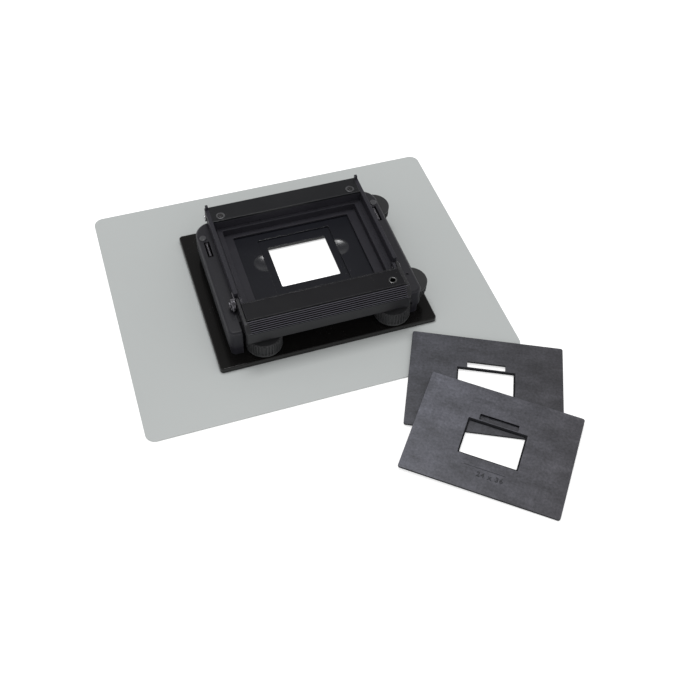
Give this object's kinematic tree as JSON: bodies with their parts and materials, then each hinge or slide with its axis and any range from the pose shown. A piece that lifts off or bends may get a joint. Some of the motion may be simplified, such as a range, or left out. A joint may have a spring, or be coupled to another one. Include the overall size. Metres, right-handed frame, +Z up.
{
  "type": "slide duplicator",
  "caption": "Slide and film copying holder: hinged film frame with masking blades worked by thumbwheels, on a plate and light-mask sheet, with spare inserts beside it.",
  "frame": {"origin": "optical axis of the film gate, on the surface that the mask sheet lies on", "axes": "+X to the right along the long side of the mask sheet, +Y to the hinge at the rear, +Z up along the light path"},
  "size_m": [0.276, 0.3231, 0.0395],
  "materials": {
    "mask_sheet": "satin grey-green sheet",
    "base_gloss": "glossy black plate",
    "housing_dark": "fine-grained dark grey moulding",
    "lid_dark": "satin dark grey moulding",
    "panel_black": "satin black panel",
    "bar_dark": "satin dark grey bar",
    "grip_dark": "satin dark grey grip",
    "wheel_dark": "dark grey moulded wheel",
    "insert_black": "black film insert",
    "spare_slate": "slate grey mottled film insert",
    "blade_black": "matt black steel",
    "steel": "plain bright steel",
    "screw_black": "blackened steel",
    "spring_black": "blackened spring steel"
  },
  "bodies": {
    "mask_sheet": {"light_mask_sheet": "mask_sheet"},
    "holder": {"base_plate": "base_gloss", "housing_tray": "housing_dark", "housing_cover": "housing_dark", "housing_screws": "steel", "blade_guide": "blade_black", "front_wheel_pins": "steel", "side_wheel_spindles": "screw_black", "cover_studs": "screw_black", "slide_insert": "insert_black", "hinge_pins": "steel", "side_springs": "spring_black"},
    "lid": {"lid_frame": "lid_dark", "rear_panel": "panel_black", "rear_panel_screws": "screw_black", "front_bar": "bar_dark", "front_bar_bush": "steel", "grip_pins": "steel", "grip_springs": "steel"},
    "grip": {"ribbed_grip": "grip_dark"},
    "wheel_front_left": {"wheel_front_left": "wheel_dark"},
    "wheel_front_right": {"wheel_front_right": "wheel_dark"},
    "wheel_side_front": {"wheel_side_front": "wheel_dark"},
    "wheel_side_rear": {"wheel_side_rear": "wheel_dark"},
    "blade_left": {"blade_left": "blade_black"},
    "blade_right": {"blade_right": "blade_black"},
    "blade_front": {"blade_front": "blade_black"},
    "blade_rear": {"blade_rear": "blade_black"},
    "spare_rear": {"spare_insert_rear": "spare_slate"},
    "spare_front": {"spare_insert_front": "spare_slate"}
  },
  "joints": [
    {"name": "holder_lift", "type": "slide", "parent": "mask_sheet", "child": "holder", "axis": [0, 0, 1], "range_m": [0, 0.12]},
    {"name": "spare_rear_lift", "type": "slide", "parent": "mask_sheet", "child": "spare_rear", "axis": [0, 0, 1], "range_m": [0, 0.12]},
    {"name": "spare_front_lift", "type": "slide", "parent": "spare_rear", "child": "spare_front", "axis": [0, 0, 1], "range_m": [0, 0.12]},
    {"name": "lid_hinge", "type": "hinge", "parent": "holder", "child": "lid", "pos_m": [0, 0.0492, 0.0306], "axis": [-1, 0, 0], "range_deg": [0, 100]},
    {"name": "grip_pivot", "type": "hinge", "parent": "lid", "child": "grip", "pos_m": [0, -0.0335, 0.0314], "axis": [-1, 0, 0], "range_deg": [0, 10], "stiffness_Nm_per_rad": 0.3, "springref_deg": -8.59},
    {"name": "wheel_front_left_turn", "type": "hinge", "parent": "holder", "child": "wheel_front_left", "pos_m": [-0.0425, -0.0502, 0.0116], "axis": [0, 0, -1], "range_deg": [0, 68.56]},
    {"name": "wheel_front_right_turn", "type": "hinge", "parent": "holder", "child": "wheel_front_right", "pos_m": [0.0465, -0.0502, 0.0116], "axis": [0, 0, 1], "range_deg": [0, 68.56]},
    {"name": "wheel_side_front_turn", "type": "hinge", "parent": "holder", "child": "wheel_side_front", "pos_m": [0.0619, -0.041, 0.0208], "axis": [0, 0, -1], "range_deg": [0, 41.48]},
    {"name": "wheel_side_rear_turn", "type": "hinge", "parent": "holder", "child": "wheel_side_rear", "pos_m": [0.0619, 0.0335, 0.0208], "axis": [0, 0, 1], "range_deg": [0, 41.48]},
    {"name": "blade_left_slide", "type": "slide", "parent": "holder", "child": "blade_left", "axis": [1, 0, 0], "range_m": [0, 0.014]},
    {"name": "blade_right_slide", "type": "slide", "parent": "holder", "child": "blade_right", "axis": [-1, 0, 0], "range_m": [0, 0.014]},
    {"name": "blade_front_slide", "type": "slide", "parent": "holder", "child": "blade_front", "axis": [0, 1, 0], "range_m": [0, 0.008]},
    {"name": "blade_rear_slide", "type": "slide", "parent": "holder", "child": "blade_rear", "axis": [0, -1, 0], "range_m": [0, 0.008]}
  ],
  "couplings": [
    {"joint": "wheel_front_left_turn", "follows": "blade_left_slide", "rad_per_m": 85.47},
    {"joint": "wheel_front_right_turn", "follows": "blade_right_slide", "rad_per_m": 85.47},
    {"joint": "wheel_side_front_turn", "follows": "blade_front_slide", "rad_per_m": 90.498},
    {"joint": "wheel_side_rear_turn", "follows": "blade_rear_slide", "rad_per_m": 90.498}
  ]
}
